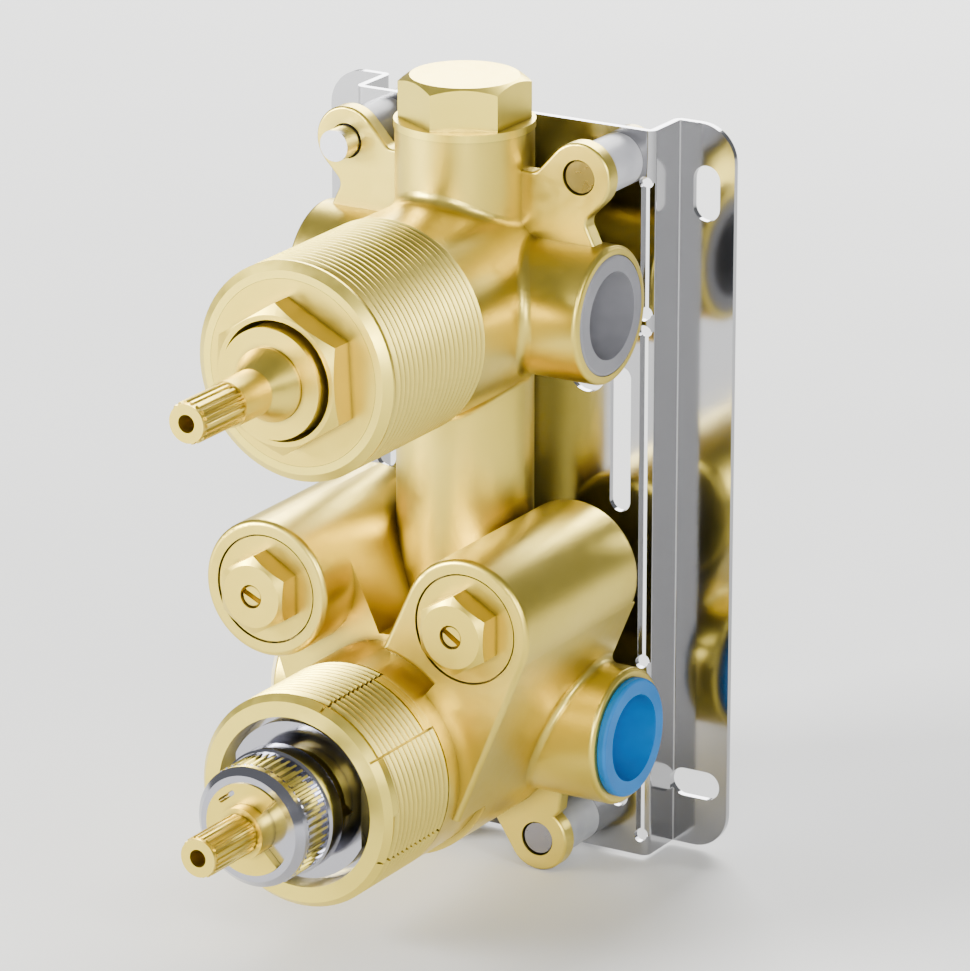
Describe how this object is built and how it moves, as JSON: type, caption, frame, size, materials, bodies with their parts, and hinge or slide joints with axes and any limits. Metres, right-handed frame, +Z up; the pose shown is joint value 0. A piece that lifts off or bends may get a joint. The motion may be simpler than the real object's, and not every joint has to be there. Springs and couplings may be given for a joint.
{
  "type": "thermostatic mixing valve",
  "caption": "Concealed mixing valve: brass casting with threaded barrels, splined spindles, service stops and plugged ports on a bent wall bracket.",
  "frame": {"origin": "midpoint between the two lower wall slots, on the wall plane at the back of the bracket wings", "axes": "+Z up, +Y into the wall along the wall screws, -Y out along the barrels and spindles, +X towards the cold inlet on the right"},
  "size_m": [0.086, 0.116, 0.1503],
  "materials": {
    "black_rubber": "black rubber",
    "blue_plug": "blue moulding",
    "cast_brass": "satin blasted casting",
    "chrome_plate": "bright plating",
    "copper_element": "copper",
    "dark_moulding": "dark acetal",
    "grey_plug": "grey moulding",
    "grey_spacer": "light grey moulding",
    "pale_brass": "satin, paler than the casting",
    "red_plug": "red moulding, colour guessed",
    "spring_steel": "stainless wire",
    "stainless_sheet": "polished stainless steel sheet",
    "turned_brass": "fine turned",
    "white_ceramic": "ground ceramic",
    "zinc_screw": "zinc plated"
  },
  "bodies": {
    "valve": {"bracket_plate": "stainless_sheet", "flow_cartridge_body": "turned_brass", "flow_fixed_disc": "white_ceramic", "flow_gland_nut": "turned_brass", "flow_seat_seal": "black_rubber", "mounting_screw_lower_left": "zinc_screw", "mounting_screw_lower_right": "zinc_screw", "mounting_screw_upper_left": "zinc_screw", "mounting_screw_upper_right": "zinc_screw", "port_plug_lower_left": "red_plug", "port_plug_lower_right": "blue_plug", "port_plug_upper_left": "grey_plug", "port_plug_upper_right": "grey_plug", "spacer_lower_left": "grey_spacer", "spacer_lower_right": "grey_spacer", "spacer_upper_left": "grey_spacer", "spacer_upper_right": "grey_spacer", "stop_gland_ring_left": "dark_moulding", "stop_gland_ring_right": "dark_moulding", "stop_insert_left": "turned_brass", "stop_insert_right": "turned_brass", "temperature_cartridge_body": "turned_brass", "temperature_cartridge_seals": "black_rubber", "temperature_front_ring": "chrome_plate", "temperature_knurled_ring": "turned_brass", "temperature_rear_ring": "chrome_plate", "temperature_retaining_nut": "chrome_plate", "temperature_stop_disc": "turned_brass", "top_cap": "pale_brass", "top_cap_seal": "black_rubber", "valve_body": "cast_brass"},
    "flow_control": {"flow_spindle": "turned_brass", "flow_moving_disc": "white_ceramic"},
    "temperature_control": {"temperature_spindle": "turned_brass", "temperature_spindle_clip": "turned_brass"},
    "regulator": {"temperature_drive_nut": "turned_brass", "wax_element": "copper_element", "shuttle": "dark_moulding", "return_spring": "spring_steel"},
    "stop_left": {"stop_spindle_left": "turned_brass"},
    "stop_left_closer": {"stop_closer_left": "dark_moulding"},
    "stop_right": {"stop_spindle_right": "turned_brass"},
    "stop_right_closer": {"stop_closer_right": "dark_moulding"}
  },
  "joints": [
    {"name": "flow_turn", "type": "hinge", "parent": "valve", "child": "flow_control", "pos_m": [0, -0.09, 0.0967], "axis": [0, -1, 0], "range_deg": [-90, 90]},
    {"name": "temperature_turn", "type": "hinge", "parent": "valve", "child": "temperature_control", "pos_m": [0, -0.09, 0.0167], "axis": [0, -1, 0], "range_deg": [-135, 135]},
    {"name": "regulator_slide", "type": "slide", "parent": "valve", "child": "regulator", "axis": [0, -1, 0], "range_m": [-0.00075, 0.00075]},
    {"name": "stop_left_turn", "type": "hinge", "parent": "valve", "child": "stop_left", "pos_m": [-0.0211, -0.06, 0.04595], "axis": [0, 1, 0], "range_deg": [0, 1080]},
    {"name": "stop_left_closing", "type": "slide", "parent": "valve", "child": "stop_left_closer", "axis": [0, 1, 0], "range_m": [0, 0.003]},
    {"name": "stop_right_turn", "type": "hinge", "parent": "valve", "child": "stop_right", "pos_m": [0.0211, -0.06, 0.04595], "axis": [0, 1, 0], "range_deg": [0, 1080]},
    {"name": "stop_right_closing", "type": "slide", "parent": "valve", "child": "stop_right_closer", "axis": [0, 1, 0], "range_m": [0, 0.003]}
  ],
  "couplings": [
    {"joint": "regulator_slide", "follows": "temperature_turn", "m_per_rad": 0.000318},
    {"joint": "stop_left_closing", "follows": "stop_left_turn", "m_per_rad": 0.000159},
    {"joint": "stop_right_closing", "follows": "stop_right_turn", "m_per_rad": 0.000159}
  ]
}
